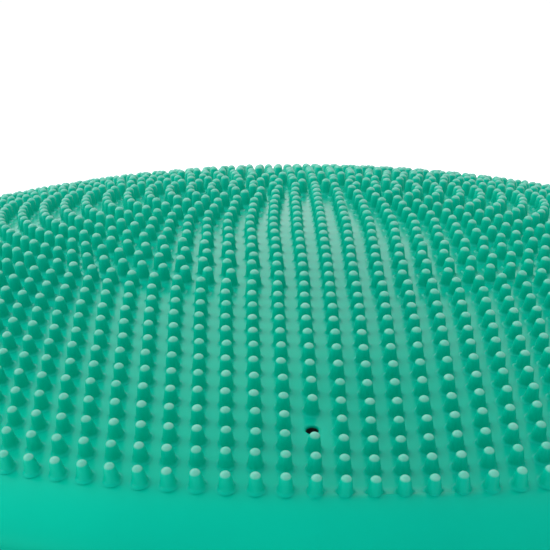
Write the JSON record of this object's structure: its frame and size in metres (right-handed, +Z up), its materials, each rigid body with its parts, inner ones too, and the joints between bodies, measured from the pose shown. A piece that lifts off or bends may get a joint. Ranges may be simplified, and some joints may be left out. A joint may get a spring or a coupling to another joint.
{
  "type": "balance pad",
  "caption": "Round inflatable balance pad: domed top covered in rings of soft nubs, welded edge seam, ribbed flat underside and a recessed needle valve near the edge.",
  "frame": {"origin": "centre of the underside, on the surface that the pad stands on", "axes": "+Z up along the axis of the dome; -Y from the centre towards the needle valve; +X to the right of someone who faces the pad with the valve towards them"},
  "size_m": [0.33, 0.33, 0.0708],
  "materials": {
    "green_pvc": "satin",
    "nub_pvc": "satin",
    "valve_rubber": "matte"
  },
  "bodies": {
    "root": {"upper_skin": "green_pvc", "lower_skin": "green_pvc", "valve_housing": "valve_rubber", "valve_core": "valve_rubber", "nub_ring_00": "nub_pvc", "nub_ring_01": "nub_pvc", "nub_ring_02": "nub_pvc", "nub_ring_03": "nub_pvc", "nub_ring_04": "nub_pvc", "nub_ring_05": "nub_pvc", "nub_ring_06": "nub_pvc", "nub_ring_07": "nub_pvc", "nub_ring_08": "nub_pvc", "nub_ring_09": "nub_pvc", "nub_ring_10": "nub_pvc", "nub_ring_11": "nub_pvc", "nub_ring_12": "nub_pvc", "nub_ring_13": "nub_pvc", "nub_ring_14": "nub_pvc", "nub_ring_15": "nub_pvc", "nub_ring_16": "nub_pvc", "nub_ring_17": "nub_pvc", "nub_ring_18": "nub_pvc", "nub_ring_19": "nub_pvc", "nub_ring_20": "nub_pvc", "nub_ring_21": "nub_pvc", "nub_ring_22": "nub_pvc", "nub_ring_23": "nub_pvc", "nub_ring_24": "nub_pvc", "nub_ring_25": "nub_pvc", "nub_ring_26": "nub_pvc", "nub_ring_27": "nub_pvc", "nub_ring_28": "nub_pvc"}
  },
  "joints": []
}
